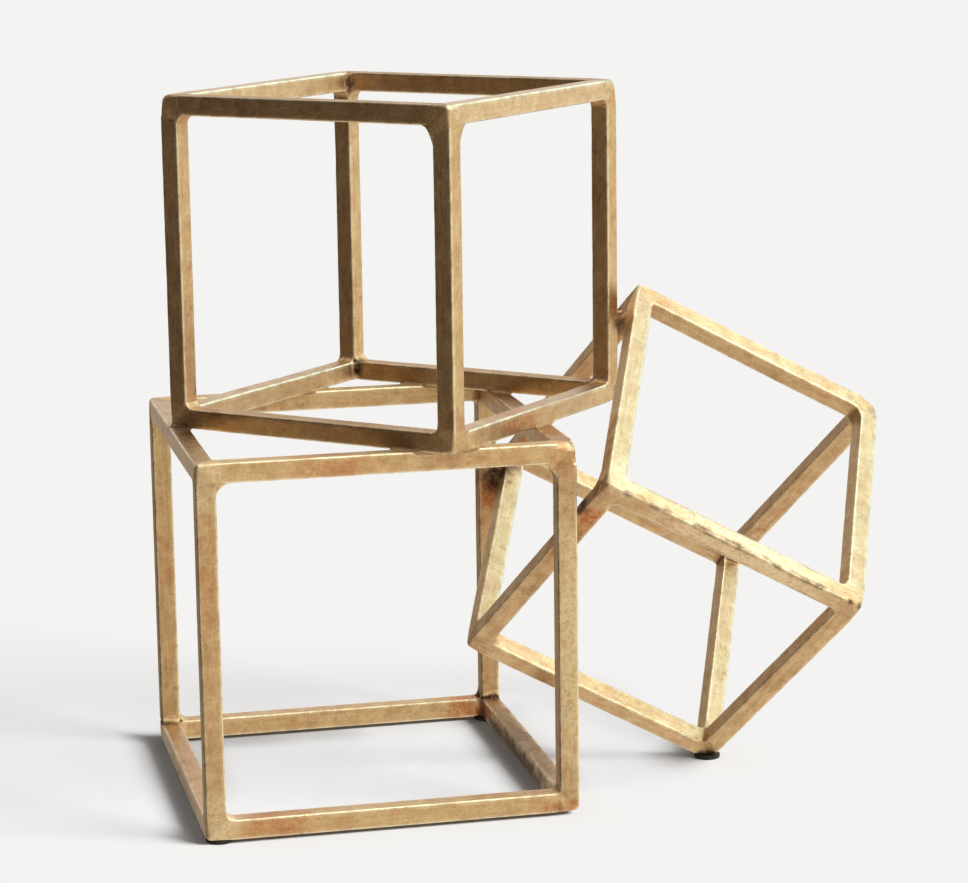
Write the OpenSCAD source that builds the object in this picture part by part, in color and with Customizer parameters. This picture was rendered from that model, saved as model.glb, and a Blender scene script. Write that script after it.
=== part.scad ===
// Table sculpture of three open cube frames, welded from solid square bar.
// The large cube stands square to the axes, the medium cube is turned on top of it, and the
// small cube leans on both, standing on one corner. All lengths are in millimetres.

/* [Cubes] */
// Outer edge of the large cube, which stands on the table
large_edge = 178; // [174:1:182]
// Outer edge of the medium cube, which is welded on top
medium_edge = 159; // [154:1:164]
// Outer edge of the small cube, which leans on the other two
small_edge = 141; // [140:0.5:142]

/* [Bar] */
// Width of the square bar that every edge is cut from
bar_w = 9.5; // [9:0.1:9.6]
// Radius worn on the long edges of the bar
bar_round = 0.8; // [0.4:0.1:1.2]

/* [Medium cube placement] */
// Turn of the medium cube about the vertical
medium_turn = 47; // [45:0.5:49]
// Front corner of the medium cube, to the right of the large cube's left face
medium_x = 117.3; // [116.5:0.1:119]
// Front corner of the medium cube, behind the large cube's front face
medium_y = -13.9; // [-15:0.1:-12]

/* [Small cube placement] */
// First turn of the small cube, about X
lean_x = 51.8; // [51.5:0.1:52.1]
// Second turn of the small cube, about Y
lean_y = -28.4; // [-28.7:0.1:-28.1]
// Third turn of the small cube, about Z
lean_z = 177.6; // [177.4:0.1:177.8]
// Standing corner of the small cube, to the right of the large cube's left face
foot_x = 264.3; // [264:0.1:266]
// Standing corner of the small cube, behind the large cube's front face
foot_y = 73.5; // [73:0.1:75]
// Height ground off the standing corner to make a flat for its pad
foot_ground = 4.2; // [3:0.1:5]

/* [Welds] */
// Leg of the weld fillet in the inside angle between two bars
fillet_leg = 4; // [2:0.5:5]
// Thickness of the fillet's toe, where it runs out on the bar
fillet_toe = 0.25; // [0.2:0.05:0.5]
// Leg of the bead that joins the medium cube to the large one
bead_leg = 2.5; // [1.5:0.5:3]
// Radius of the weld that joins the small cube to a post
tack_r = 5; // [4:0.5:6]

/* [Pads] */
// Diameter of each round pad
pad_d = 13; // [11:0.5:14]
// Thickness of each pad
pad_h = 2; // [1.5:0.5:3]
// Centre of a pad, in from both outer faces of the large cube
pad_inset = 7; // [6.5:0.5:8]
// Centre of the front right pad, behind the large cube's front face
set_back_pad_y = 19; // [18:0.5:24]

/* [Hidden] */
$fn = 48;
X = 0;
Y = 1;
Z = 2;
LOW = 0;
HIGH = 1;
GOLD = [0.76, 0.61, 0.36];
WORN_GOLD = [0.66, 0.50, 0.29];
BLACK = [0.09, 0.09, 0.09];

// A vector turned about X, then Y, then Z
function turned(v, a) = let(
    x = [v.x, v.y * cos(a.x) - v.z * sin(a.x), v.y * sin(a.x) + v.z * cos(a.x)],
    y = [x.x * cos(a.y) + x.z * sin(a.y), x.y, x.z * cos(a.y) - x.x * sin(a.y)]
) [y.x * cos(a.z) - y.y * sin(a.z), y.x * sin(a.z) + y.y * cos(a.z), y.z];

// Where each cube's own corner lies, measured from the large cube's front left bottom corner
medium_at = [medium_x, medium_y, large_edge];
medium_spin = [0, 0, medium_turn];
small_at = [foot_x, foot_y, -foot_ground];
small_lean = [lean_x, lean_y, lean_z];

// The whole sculpture's footprint, from the corners of the three cubes
function corners(edge, at, turn) =
    [for (x = [0, edge], y = [0, edge], z = [0, edge]) at + turned([x, y, z], turn)];
all_corners = concat(
    corners(large_edge, [0, 0, 0], [0, 0, 0]),
    corners(medium_edge, medium_at, medium_spin),
    corners(small_edge, small_at, small_lean)
);
all_x = [for (c = all_corners) c.x];
all_y = [for (c = all_corners) c.y];
centre_x = (min(all_x) + max(all_x)) / 2;
centre_y = (min(all_y) + max(all_y)) / 2;

// The ground flat is a triangle; its centre is the mean of the points where it cuts the three
// edges that meet at the standing corner
small_axes = [for (v = [[1, 0, 0], [0, 1, 0], [0, 0, 1]]) turned(v, small_lean)];
flat_points = [for (a = small_axes) small_at + a * foot_ground / a.z];
flat_centre = (flat_points[X] + flat_points[Y] + flat_points[Z]) / 3;

// Distance of a bar's centre line from the cube's corner, along one axis
function line_at(edge, side) = side == LOW ? bar_w / 2 : edge - bar_w / 2;

// The point halfway between two lines where they pass closest, each line a point and a direction
function near_point(p, d, q, e) = let(
    w = p - q,
    b = d * e,
    slack = 1 - b * b,
    s = (b * (e * w) - d * w) / slack,
    t = (e * w - b * (d * w)) / slack
) (p + d * s + q + e * t) / 2;

// Where the centre lines of the welded bars start, each in its own cube
front_post_start = [line_at(large_edge, HIGH), line_at(large_edge, LOW), 0];
back_post_start = [line_at(large_edge, HIGH), line_at(large_edge, HIGH), 0];
medium_post_start = [line_at(medium_edge, HIGH), line_at(medium_edge, LOW), 0];
front_rail_start = [line_at(small_edge, HIGH), 0, line_at(small_edge, LOW)];
rear_rail_start = [line_at(small_edge, HIGH), 0, line_at(small_edge, HIGH)];
left_strut_start = [line_at(small_edge, HIGH), line_at(small_edge, LOW), 0];

// Where a bar of the small cube passes closest to a post
post_up = [0, 0, 1];
front_tack_at = near_point(front_post_start, post_up,
    small_at + turned(front_rail_start, small_lean), small_axes[Y]);
back_tack_at = near_point(back_post_start, post_up,
    small_at + turned(left_strut_start, small_lean), small_axes[Z]);
medium_tack_at = near_point(medium_at + turned(medium_post_start, medium_spin), post_up,
    small_at + turned(rear_rail_start, small_lean), small_axes[Y]);

// ---- Where each cube stands ----

module large_cube() {
    translate([-centre_x, -centre_y, pad_h]) children();
}

module medium_cube() {
    large_cube() translate(medium_at) rotate(medium_spin) children();
}

module small_cube() {
    large_cube() translate(small_at) rotate(small_lean) children();
}

// ---- Bars, in a cube's own frame ----

// Square section with rounded corners, centred on the bar's line
module bar_section() {
    inner = bar_w - 2 * bar_round;
    square([inner, bar_w], center = true);
    square([bar_w, inner], center = true);
    for (x = [-1, 1], y = [-1, 1])
        translate([x * inner / 2, y * inner / 2]) circle(r = bar_round);
}

// Turns a shape that stands along Z so that it lies along the axis, from the start point
module along(axis, start) {
    turns = [[0, 90, 0], [-90, 0, 0], [0, 0, 0]];
    translate(start) rotate(turns[axis]) children();
}

module bar(axis, start, length) {
    along(axis, start) linear_extrude(length) bar_section();
}

// The square block that a bar fits in
module bar_envelope(axis, start, length) {
    along(axis, start) translate([-bar_w / 2, -bar_w / 2, 0]) cube([bar_w, bar_w, length]);
}

// An upright of a cube; it stands between the bottom ring and the top ring
module post(edge, x_side, y_side) {
    bar(Z, [line_at(edge, x_side), line_at(edge, y_side), bar_w], edge - 2 * bar_w);
}

// A ring bar along Y; it runs the cube's full length
module long_rail(edge, x_side, z_side) {
    bar(Y, [line_at(edge, x_side), 0, line_at(edge, z_side)], edge);
}

// A ring bar along X; it butts between the two long rails
module short_rail(edge, y_side, z_side) {
    bar(X, [bar_w, line_at(edge, y_side), line_at(edge, z_side)], edge - 2 * bar_w);
}

// ---- Welds inside the corners of one cube ----

// Section of a hollow fillet with its right angle at the origin
module fillet_section() {
    difference() {
        square(fillet_leg);
        translate([fillet_leg + fillet_toe, fillet_leg + fillet_toe]) circle(r = fillet_leg);
    }
}

// The fillets of the corner at the cube's origin: one in each angle between two bars
module one_corner_fillets() {
    width = bar_w - 2 * bar_round;
    for (turn = [[0, 0, 0], [90, 0, 90], [-90, -90, 0]])
        rotate(turn)
            translate([bar_w, bar_w, bar_round]) linear_extrude(width) fillet_section();
}

module corner_fillets(edge) {
    half = [edge, edge, edge] / 2;
    translate(half)
        for (x = [0, 1], y = [0, 1], z = [0, 1])
            mirror([x, 0, 0]) mirror([0, y, 0]) mirror([0, 0, z])
                translate(-half) one_corner_fillets();
}

// ---- Welds between the cubes ----

// Triangular bead along the outside of one bottom rail of the medium cube, on the Y = 0 side
module seat_bead() {
    rotate([90, 0, 90])
        linear_extrude(medium_edge) polygon([[0, 0], [-bead_leg, 0], [0, bead_leg]]);
}

// The seat bead on each of the medium cube's four sides
module seat_bead_ring() {
    middle = [medium_edge, medium_edge, 0] / 2;
    translate(middle)
        for (turn = [0 : 90 : 270])
            rotate([0, 0, turn]) translate(-middle) seat_bead();
}

// The flat of each top rail of the large cube, as tall as the beads that stand on it
module top_flats() {
    width = bar_w - 2 * bar_round;
    length = large_edge - 2 * bar_w;
    for (side = [LOW, HIGH]) {
        start = line_at(large_edge, side) - width / 2;
        translate([start, bar_w, large_edge]) cube([width, length, bead_leg]);
        translate([bar_w, start, large_edge]) cube([length, width, bead_leg]);
    }
}

// A round weld at the point where two bars nearly touch; the children are the room they take.
// The sphere lies on its side, so that both its poles are inside the bars.
module tack(at) {
    difference() {
        large_cube() translate(at) rotate([0, 90, 0]) sphere(r = tack_r);
        children();
    }
}

// ---- Large cube ----

module large_front_left_post() { color(GOLD) large_cube() post(large_edge, LOW, LOW); }
module large_front_right_post() { color(GOLD) large_cube() post(large_edge, HIGH, LOW); }
module large_back_left_post() { color(GOLD) large_cube() post(large_edge, LOW, HIGH); }
module large_back_right_post() { color(GOLD) large_cube() post(large_edge, HIGH, HIGH); }

module large_bottom_left_rail() { color(GOLD) large_cube() long_rail(large_edge, LOW, LOW); }
module large_bottom_right_rail() { color(GOLD) large_cube() long_rail(large_edge, HIGH, LOW); }
module large_bottom_front_rail() { color(GOLD) large_cube() short_rail(large_edge, LOW, LOW); }
module large_bottom_back_rail() { color(GOLD) large_cube() short_rail(large_edge, HIGH, LOW); }

module large_top_left_rail() { color(GOLD) large_cube() long_rail(large_edge, LOW, HIGH); }
module large_top_right_rail() { color(GOLD) large_cube() long_rail(large_edge, HIGH, HIGH); }
module large_top_front_rail() { color(GOLD) large_cube() short_rail(large_edge, LOW, HIGH); }
module large_top_back_rail() { color(GOLD) large_cube() short_rail(large_edge, HIGH, HIGH); }

// ---- Medium cube: its corners point to the front, right, back and left ----

module medium_front_post() { color(GOLD) medium_cube() post(medium_edge, LOW, LOW); }
module medium_right_post() { color(GOLD) medium_cube() post(medium_edge, HIGH, LOW); }
module medium_left_post() { color(GOLD) medium_cube() post(medium_edge, LOW, HIGH); }
module medium_back_post() { color(GOLD) medium_cube() post(medium_edge, HIGH, HIGH); }

module medium_bottom_front_left_rail() {
    color(GOLD) medium_cube() long_rail(medium_edge, LOW, LOW);
}
module medium_bottom_back_right_rail() {
    color(GOLD) medium_cube() long_rail(medium_edge, HIGH, LOW);
}
module medium_bottom_front_right_rail() {
    color(GOLD) medium_cube() short_rail(medium_edge, LOW, LOW);
}
module medium_bottom_back_left_rail() {
    color(GOLD) medium_cube() short_rail(medium_edge, HIGH, LOW);
}
module medium_top_front_left_rail() {
    color(GOLD) medium_cube() long_rail(medium_edge, LOW, HIGH);
}
module medium_top_back_right_rail() {
    color(GOLD) medium_cube() long_rail(medium_edge, HIGH, HIGH);
}
module medium_top_front_right_rail() {
    color(GOLD) medium_cube() short_rail(medium_edge, LOW, HIGH);
}
module medium_top_back_left_rail() {
    color(GOLD) medium_cube() short_rail(medium_edge, HIGH, HIGH);
}

// ---- Small cube: its front ring holds the standing corner, and struts reach its rear ring ----

module small_foot_strut() { color(GOLD) small_cube() post(small_edge, LOW, LOW); }
module small_left_strut() { color(GOLD) small_cube() post(small_edge, HIGH, LOW); }
module small_right_strut() { color(GOLD) small_cube() post(small_edge, LOW, HIGH); }
module small_crown_strut() { color(GOLD) small_cube() post(small_edge, HIGH, HIGH); }

// The rail that holds the standing corner, ground level with the underside of the large cube
module small_front_lower_right_rail() {
    color(GOLD)
        difference() {
            small_cube() long_rail(small_edge, LOW, LOW);
            large_cube() translate([foot_x - bar_w * 2, foot_y - bar_w * 2, -bar_w])
                cube([bar_w * 4, bar_w * 4, bar_w]);
        }
}
module small_front_upper_left_rail() {
    color(GOLD) small_cube() long_rail(small_edge, HIGH, LOW);
}
module small_front_lower_left_rail() {
    color(GOLD) small_cube() short_rail(small_edge, LOW, LOW);
}
module small_front_upper_right_rail() {
    color(GOLD) small_cube() short_rail(small_edge, HIGH, LOW);
}
module small_rear_lower_right_rail() {
    color(GOLD) small_cube() long_rail(small_edge, LOW, HIGH);
}
module small_rear_upper_left_rail() {
    color(GOLD) small_cube() long_rail(small_edge, HIGH, HIGH);
}
module small_rear_lower_left_rail() {
    color(GOLD) small_cube() short_rail(small_edge, LOW, HIGH);
}
module small_rear_upper_right_rail() {
    color(GOLD) small_cube() short_rail(small_edge, HIGH, HIGH);
}

// ---- Weld metal ----

module large_corner_fillets() { color(WORN_GOLD) large_cube() corner_fillets(large_edge); }
module medium_corner_fillets() { color(WORN_GOLD) medium_cube() corner_fillets(medium_edge); }
module small_corner_fillets() { color(WORN_GOLD) small_cube() corner_fillets(small_edge); }

// Beads where the medium cube's bottom rails cross the large cube's top rails
module medium_seat_beads() {
    color(WORN_GOLD)
        intersection() {
            medium_cube() seat_bead_ring();
            large_cube() top_flats();
        }
}

module small_to_front_post_weld() {
    color(WORN_GOLD)
        tack(front_tack_at) {
            large_cube() bar_envelope(Z, front_post_start, large_edge);
            small_cube() bar_envelope(Y, front_rail_start, small_edge);
        }
}

module small_to_back_post_weld() {
    color(WORN_GOLD)
        tack(back_tack_at) {
            large_cube() bar_envelope(Z, back_post_start, large_edge);
            small_cube() bar_envelope(Z, left_strut_start, small_edge);
        }
}

module small_to_medium_weld() {
    color(WORN_GOLD)
        tack(medium_tack_at) {
            medium_cube() bar_envelope(Z, medium_post_start, medium_edge);
            small_cube() bar_envelope(Y, rear_rail_start, small_edge);
        }
}

// ---- Pads ----

// A pad on the table, its centre given in the large cube's own frame
module pad_at(x, y) {
    color(BLACK) large_cube() translate([x, y, -pad_h]) cylinder(h = pad_h, d = pad_d);
}

module front_left_pad() { pad_at(pad_inset, pad_inset); }
module front_right_pad() { pad_at(large_edge - pad_inset, set_back_pad_y); }
module back_left_pad() { pad_at(pad_inset, large_edge - pad_inset); }
module back_right_pad() { pad_at(large_edge - pad_inset, large_edge - pad_inset); }
module small_cube_pad() { pad_at(flat_centre.x, flat_centre.y); }

large_front_left_post();
large_front_right_post();
large_back_left_post();
large_back_right_post();
large_bottom_left_rail();
large_bottom_right_rail();
large_bottom_front_rail();
large_bottom_back_rail();
large_top_left_rail();
large_top_right_rail();
large_top_front_rail();
large_top_back_rail();
medium_front_post();
medium_right_post();
medium_left_post();
medium_back_post();
medium_bottom_front_left_rail();
medium_bottom_back_right_rail();
medium_bottom_front_right_rail();
medium_bottom_back_left_rail();
medium_top_front_left_rail();
medium_top_back_right_rail();
medium_top_front_right_rail();
medium_top_back_left_rail();
small_foot_strut();
small_left_strut();
small_right_strut();
small_crown_strut();
small_front_lower_right_rail();
small_front_upper_left_rail();
small_front_lower_left_rail();
small_front_upper_right_rail();
small_rear_lower_right_rail();
small_rear_upper_left_rail();
small_rear_lower_left_rail();
small_rear_upper_right_rail();
large_corner_fillets();
medium_corner_fillets();
small_corner_fillets();
medium_seat_beads();
small_to_front_post_weld();
small_to_back_post_weld();
small_to_medium_weld();
front_left_pad();
front_right_pad();
back_left_pad();
back_right_pad();
small_cube_pad();
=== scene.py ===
import math

import bpy
import numpy as np
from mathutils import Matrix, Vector


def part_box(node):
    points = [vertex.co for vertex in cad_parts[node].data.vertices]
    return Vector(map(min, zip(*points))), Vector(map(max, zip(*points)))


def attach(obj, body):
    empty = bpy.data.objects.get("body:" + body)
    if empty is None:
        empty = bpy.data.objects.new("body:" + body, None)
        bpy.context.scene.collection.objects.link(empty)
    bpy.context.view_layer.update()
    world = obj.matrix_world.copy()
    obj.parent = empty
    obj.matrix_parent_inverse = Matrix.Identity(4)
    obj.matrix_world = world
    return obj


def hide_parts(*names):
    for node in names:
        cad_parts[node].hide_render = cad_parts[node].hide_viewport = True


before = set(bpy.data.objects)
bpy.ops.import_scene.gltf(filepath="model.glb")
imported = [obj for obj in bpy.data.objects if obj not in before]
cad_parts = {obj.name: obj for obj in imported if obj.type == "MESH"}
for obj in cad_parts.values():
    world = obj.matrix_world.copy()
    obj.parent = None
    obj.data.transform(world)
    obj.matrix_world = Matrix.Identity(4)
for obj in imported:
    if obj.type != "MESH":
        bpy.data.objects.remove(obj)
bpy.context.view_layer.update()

# Lengths are in millimetres until a mesh or light is made.
MM = 0.001
BAR = 9.5
HALF = BAR / 2
EDGE_RADIUS = 0.95


# ---------------------------------------------------------------- where each cube stands

def turn_matrix(x_deg, y_deg, z_deg):
    """Rotation matrix of turns about X, then Y, then Z."""
    x, y, z = (math.radians(a) for a in (x_deg, y_deg, z_deg))
    about_x = np.array([[1, 0, 0], [0, math.cos(x), -math.sin(x)], [0, math.sin(x), math.cos(x)]])
    about_y = np.array([[math.cos(y), 0, math.sin(y)], [0, 1, 0], [-math.sin(y), 0, math.cos(y)]])
    about_z = np.array([[math.cos(z), -math.sin(z), 0], [math.sin(z), math.cos(z), 0], [0, 0, 1]])
    return about_z @ about_y @ about_x


class Cube:
    def __init__(self, edge, at, turn):
        self.edge = edge
        self.at = np.array(at, float)
        self.turn = turn

    def to_world(self, points):
        return points @ self.turn.T + self.at

    def to_local(self, points):
        return (points - self.at) @ self.turn

    def place(self, x, y, z):
        """The world point at x, y, z of the cube."""
        return self.to_world(np.array([x, y, z]))


large_at = np.array(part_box("large_bottom_left_rail")[0]) / MM
LARGE = Cube(178.0, large_at, np.eye(3))
MEDIUM = Cube(159.0, large_at + [117.3, -13.9, 178.0], turn_matrix(0, 0, 47))
SMALL = Cube(141.0, large_at + [264.3, 73.5, -4.2], turn_matrix(51.8, -28.4, 177.6))
GROUND_FLAT = float(large_at[2])
CUBES = {"large": LARGE, "medium": MEDIUM, "small": SMALL}

# Each bar: its axis, then the side (0 low, 1 high) that it lies on along the other two axes.
BARS = {
    "large_front_left_post": (2, 0, 0), "large_front_right_post": (2, 1, 0),
    "large_back_left_post": (2, 0, 1), "large_back_right_post": (2, 1, 1),
    "large_bottom_left_rail": (1, 0, 0), "large_bottom_right_rail": (1, 1, 0),
    "large_top_left_rail": (1, 0, 1), "large_top_right_rail": (1, 1, 1),
    "large_bottom_front_rail": (0, 0, 0), "large_bottom_back_rail": (0, 1, 0),
    "large_top_front_rail": (0, 0, 1), "large_top_back_rail": (0, 1, 1),
    "medium_front_post": (2, 0, 0), "medium_right_post": (2, 1, 0),
    "medium_left_post": (2, 0, 1), "medium_back_post": (2, 1, 1),
    "medium_bottom_front_left_rail": (1, 0, 0), "medium_bottom_back_right_rail": (1, 1, 0),
    "medium_top_front_left_rail": (1, 0, 1), "medium_top_back_right_rail": (1, 1, 1),
    "medium_bottom_front_right_rail": (0, 0, 0), "medium_bottom_back_left_rail": (0, 1, 0),
    "medium_top_front_right_rail": (0, 0, 1), "medium_top_back_left_rail": (0, 1, 1),
    "small_foot_strut": (2, 0, 0), "small_left_strut": (2, 1, 0),
    "small_right_strut": (2, 0, 1), "small_crown_strut": (2, 1, 1),
    "small_front_lower_right_rail": (1, 0, 0), "small_front_upper_left_rail": (1, 1, 0),
    "small_rear_lower_right_rail": (1, 0, 1), "small_rear_upper_left_rail": (1, 1, 1),
    "small_front_lower_left_rail": (0, 0, 0), "small_front_upper_right_rail": (0, 1, 0),
    "small_rear_lower_left_rail": (0, 0, 1), "small_rear_upper_right_rail": (0, 1, 1),
}


# ---------------------------------------------------------------- seeded noise

LATTICE_SIZE = 64
LATTICE = np.random.default_rng(11).uniform(-1, 1, (LATTICE_SIZE,) * 3).astype(np.float32)


def noise(points, size, seed=0):
    """Smooth noise from -1 to 1 over points in millimetres, with features about size across."""
    p = np.asarray(points, float) / size + np.array([17.3, 5.1, 9.7]) * (seed + 1)
    cell = np.floor(p).astype(int)
    f = p - cell
    f = f * f * (3 - 2 * f)
    out = 0.0
    for dx in (0, 1):
        wx = f[..., 0] if dx else 1 - f[..., 0]
        for dy in (0, 1):
            wy = f[..., 1] if dy else 1 - f[..., 1]
            for dz in (0, 1):
                wz = f[..., 2] if dz else 1 - f[..., 2]
                near = (cell + (dx, dy, dz)) % LATTICE_SIZE
                v = LATTICE[near[..., 0], near[..., 1], near[..., 2]]
                out = out + wx * wy * wz * v
    return out


def smoothstep(lo, hi, x):
    t = np.clip((x - lo) / (hi - lo), 0, 1)
    return t * t * (3 - 2 * t)


# ---------------------------------------------------------------- meshes

ATTRIBUTES = ("edge", "rim", "dirt_and_shade", "copper", "pale")


def make_piece(name, verts, faces, values, grain, material, nodes, lay=(0.0, 0.0, 1.0)):
    """A mesh object from vertices in millimetres and quads, which stands for CAD nodes.

    lay is the way the brushing runs, for each vertex or for all of them."""
    mesh = bpy.data.meshes.new(name)
    faces = np.asarray(faces, np.int32)
    mesh.vertices.add(len(verts))
    mesh.vertices.foreach_set("co", (np.asarray(verts) * MM).astype(np.float32).ravel())
    mesh.loops.add(faces.size)
    mesh.loops.foreach_set("vertex_index", faces.ravel())
    mesh.polygons.add(len(faces))
    loop_starts = np.arange(0, faces.size, faces.shape[1], dtype=np.int32)
    mesh.polygons.foreach_set("loop_start", loop_starts)
    mesh.polygons.foreach_set("use_smooth", np.ones(len(faces), bool))
    mesh.update(calc_edges=True)
    mesh.validate()
    for key in ATTRIBUTES:
        data = np.broadcast_to(np.asarray(values.get(key, 0.0), np.float32), len(verts))
        layer = mesh.attributes.new(key, "FLOAT", "POINT")
        layer.data.foreach_set("value", np.ascontiguousarray(np.clip(data, 0, 1)))
    for key, data in (("grain", grain), ("lay", np.broadcast_to(lay, (len(verts), 3)))):
        layer = mesh.attributes.new(key, "FLOAT_VECTOR", "POINT")
        layer.data.foreach_set("vector", np.asarray(data, np.float32).ravel())
    mesh.materials.append(material)
    obj = bpy.data.objects.new(name, mesh)
    bpy.context.scene.collection.objects.link(obj)
    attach(obj, "root")
    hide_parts(*nodes)
    return obj


def surface_nets(field, start, step):
    """Vertices and quads of the surface where a field, negative inside, crosses zero."""
    inside = field < 0
    n = np.array(field.shape)
    corner_sum = np.zeros(n - 1, int)
    for o in np.ndindex(2, 2, 2):
        corner_sum += inside[o[0]:n[0] - 1 + o[0], o[1]:n[1] - 1 + o[1], o[2]:n[2] - 1 + o[2]]
    cells = np.argwhere((corner_sum > 0) & (corner_sum < 8))
    index = -np.ones(n - 1, int)
    index[tuple(cells.T)] = np.arange(len(cells))
    total = np.zeros((len(cells), 3))
    count = np.zeros(len(cells))
    for axis in range(3):
        others = [a for a in range(3) if a != axis]
        for o in np.ndindex(2, 2):
            base = cells.copy()
            base[:, others[0]] += o[0]
            base[:, others[1]] += o[1]
            tip = base.copy()
            tip[:, axis] += 1
            f0, f1 = field[tuple(base.T)], field[tuple(tip.T)]
            crosses = (f0 < 0) != (f1 < 0)
            t = np.where(crosses, f0 / np.where(crosses, f0 - f1, 1), 0)
            point = base.astype(float)
            point[:, axis] += t
            total += point * crosses[:, None]
            count += crosses
    verts = total / count[:, None] * step + start
    quads = []
    for axis in range(3):
        b, c = (axis + 1) % 3, (axis + 2) % 3
        lo = [slice(None)] * 3
        hi = [slice(None)] * 3
        lo[axis], hi[axis] = slice(0, n[axis] - 1), slice(1, n[axis])
        f0, f1 = inside[tuple(lo)], inside[tuple(hi)]
        for flip, mask in ((False, f0 & ~f1), (True, ~f0 & f1)):
            e = np.argwhere(mask)
            e = e[(e[:, b] > 0) & (e[:, c] > 0) & (e[:, b] < n[b] - 1) & (e[:, c] < n[c] - 1)]
            ring = []
            for db, dc in ((-1, -1), (0, -1), (0, 0), (-1, 0)):
                q = e.copy()
                q[:, b] += db
                q[:, c] += dc
                ring.append(index[tuple(q.T)])
            ring = np.stack(ring, 1)
            quads.append(ring[:, ::-1] if flip else ring)
    return verts, np.concatenate(quads)


def blurred(field, rounds):
    """The field after some rounds of a 1-2-1 filter along each axis."""
    for _ in range(rounds):
        for axis in range(3):
            padded = np.pad(field, [(1, 1) if a == axis else (0, 0) for a in range(3)], mode="edge")
            cut = [slice(None)] * 3
            parts = []
            for s in range(3):
                cut[axis] = slice(s, s + field.shape[axis])
                parts.append(padded[tuple(cut)])
            field = (parts[0] + 2 * parts[1] + parts[2]) / 4
    return field


def sampled(field, points, start, step):
    """The field's values at points, between its samples."""
    p = (points - start) / step
    top = np.array(field.shape) - 2
    cell = np.clip(np.floor(p).astype(int), 0, top)
    f = np.clip(p - cell, 0, 1)
    out = 0.0
    for o in np.ndindex(2, 2, 2):
        w = np.prod([f[:, a] if o[a] else 1 - f[:, a] for a in range(3)], axis=0)
        out = out + w * field[cell[:, 0] + o[0], cell[:, 1] + o[1], cell[:, 2] + o[2]]
    return out


def grid_points(lo, hi, step):
    axes = [np.arange(lo[a], hi[a] + step, step) for a in range(3)]
    return np.stack(np.meshgrid(*axes, indexing="ij"), -1), np.array([a[0] for a in axes])


# ---------------------------------------------------------------- distances to shapes

def section_distance(u, v):
    """Distance to a rounded square section that fills 0 to BAR both ways."""
    flat = HALF - EDGE_RADIUS
    du, dv = np.abs(u - HALF) - flat, np.abs(v - HALF) - flat
    outside = np.hypot(np.maximum(du, 0), np.maximum(dv, 0))
    return outside + np.minimum(np.maximum(du, dv), 0) - EDGE_RADIUS


def block_distance(p, lo, hi, radius):
    """Distance to a block with rounded edges."""
    centre, half = (np.array(lo) + hi) / 2, (np.array(hi) - lo) / 2
    q = np.abs(p - centre) - (half - radius)
    return np.linalg.norm(np.maximum(q, 0), axis=-1) + np.minimum(q.max(-1), 0) - radius


def bar_distance(name, points):
    """Distance from world points to the whole of one bar."""
    cube = CUBES[name.split("_")[0]]
    axis, s0, s1 = BARS[name]
    others = [a for a in range(3) if a != axis]
    lo, hi = np.zeros(3), np.full(3, cube.edge)
    for a, side in zip(others, (s0, s1)):
        lo[a] = side * (cube.edge - BAR)
        hi[a] = lo[a] + BAR
    return block_distance(cube.to_local(points), lo, hi, EDGE_RADIUS)


def joined(a, b, radius):
    """The lesser of two distances, with a hollow round fillet where both are small."""
    u, v = np.maximum(radius - a, 0), np.maximum(radius - b, 0)
    return np.maximum(np.minimum(a, b), radius) - np.hypot(u, v)


# ---------------------------------------------------------------- the square bars

ARC_STEPS, SIDE_STEPS, RING_PITCH = 4, 6, 1.4
RIM_WIDTH = 2.2      # how far the chipping along an edge reaches in on each face
BUTT = BAR - 0.1     # a post or short rail runs to the side of the bar that it meets
RAIL_END = 6.4       # a long rail's end, inside the weld that caps it
DRIFT = 0.16         # how far a bar wanders off its line
HELD, LOOSE = 14, 45  # from a corner: no wandering up to the first, all of it past the second
END_SUNK = 0.34      # how far a bar's skin lies under the weld round its ends
CHIPPED_BAR = "small_front_upper_right_rail"
CHIPPED, WORN = 1.0, 0.55


def bar_section_ring():
    """Points round a bar's section, their outward directions, and how near each is to an edge."""
    flat = HALF - EDGE_RADIUS
    points, outward, edge, rim = [], [], [], []
    for quarter in range(4):
        turn = quarter * math.pi / 2
        rot = np.array([[math.cos(turn), -math.sin(turn)], [math.sin(turn), math.cos(turn)]])
        for k in range(ARC_STEPS + 1):
            a = k / ARC_STEPS * math.pi / 2
            d = np.array([math.cos(a), math.sin(a)])
            points.append(rot @ (np.array([flat, flat]) + EDGE_RADIUS * d))
            outward.append(rot @ d)
            edge.append(math.sin(2 * a) ** 0.5 if 0 < k < ARC_STEPS else 0.25)
            rim.append(1.0)
        for k in range(1, SIDE_STEPS):
            points.append(rot @ np.array([flat - 2 * flat * k / SIDE_STEPS, HALF]))
            outward.append(rot @ np.array([0.0, 1.0]))
            edge.append(0.0)
            rim.append(max(0.0, 1 - min(k, SIDE_STEPS - k) * 2 * flat / SIDE_STEPS / RIM_WIDTH))
    return np.array(points), np.array(outward), np.array(edge), np.array(rim)


RING_POINTS, RING_OUT, RING_EDGE, RING_RIM = bar_section_ring()
RING_AROUND = np.concatenate([[0], np.cumsum(np.linalg.norm(np.diff(RING_POINTS, axis=0), axis=1))])


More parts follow.
